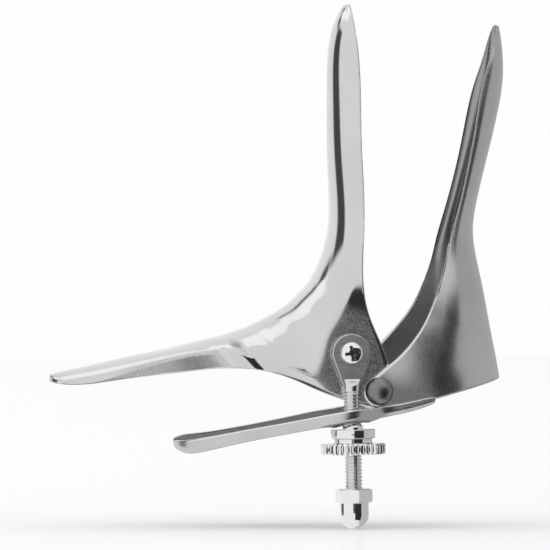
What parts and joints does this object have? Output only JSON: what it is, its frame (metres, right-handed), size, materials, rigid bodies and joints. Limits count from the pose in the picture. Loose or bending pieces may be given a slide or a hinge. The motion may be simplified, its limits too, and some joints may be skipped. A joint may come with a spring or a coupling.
{
  "type": "bivalve speculum",
  "caption": "Bivalve speculum: two hinged trough blades on two handles, held open by a knurled nut on a side screw.",
  "frame": {"origin": "middle of the hinge axis, in the mouth", "axes": "+Z from the hinge to the blade tips, +X from the handles to the mouth's back, -Y towards the screw side"},
  "size_m": [0.1319, 0.0562, 0.1512],
  "materials": {
    "upper_polish": "mirror polished stainless sheet with matte cheeks",
    "lower_satin": "satin stainless sheet",
    "lever_satin": "satin stainless sheet, brushed along its length",
    "rivet_polish": "polished",
    "rod_steel": "turned and threaded, bright",
    "bush_steel": "turned",
    "screw_chrome": "bright",
    "nut_chrome": "bright plated"
  },
  "bodies": {
    "lower": {"lower_valve": "lower_satin", "lower_lever": "lever_satin", "hinge_rivet_near": "rivet_polish", "hinge_rivet_far": "rivet_polish"},
    "upper": {"upper_valve": "upper_polish", "eye_bush": "bush_steel", "eye_screw": "screw_chrome", "eye_nut": "bush_steel"},
    "screw": {"eye_rod": "rod_steel", "cap_nut": "nut_chrome"},
    "washer": {"seat_washer": "nut_chrome"},
    "nut": {"knurled_nut": "nut_chrome"}
  },
  "joints": [
    {"name": "blade_hinge", "type": "hinge", "parent": "lower", "child": "upper", "pos_m": [0, 0, 0], "axis": [0, 1, 0], "range_deg": [-18, 20.5]},
    {"name": "screw_swing", "type": "hinge", "parent": "upper", "child": "screw", "pos_m": [-0.00805, -0.0225, 0.011], "axis": [0, 1, 0], "range_deg": [-5.9, 5.2]},
    {"name": "washer_travel", "type": "slide", "parent": "screw", "child": "washer", "axis": [-0.0175, 0, 0.9998], "range_m": [-0.0044, 0.0039]},
    {"name": "nut_spin", "type": "hinge", "parent": "washer", "child": "nut", "pos_m": [-0.0076, -0.0225, -0.015], "axis": [-0.0175, 0, 0.9998], "range_deg": [-1550, 1360]}
  ],
  "couplings": [
    {"joint": "screw_swing", "follows": "blade_hinge", "ratio": -0.27},
    {"joint": "washer_travel", "follows": "blade_hinge", "m_per_rad": -0.0115},
    {"joint": "nut_spin", "follows": "blade_hinge", "ratio": -72.257}
  ]
}
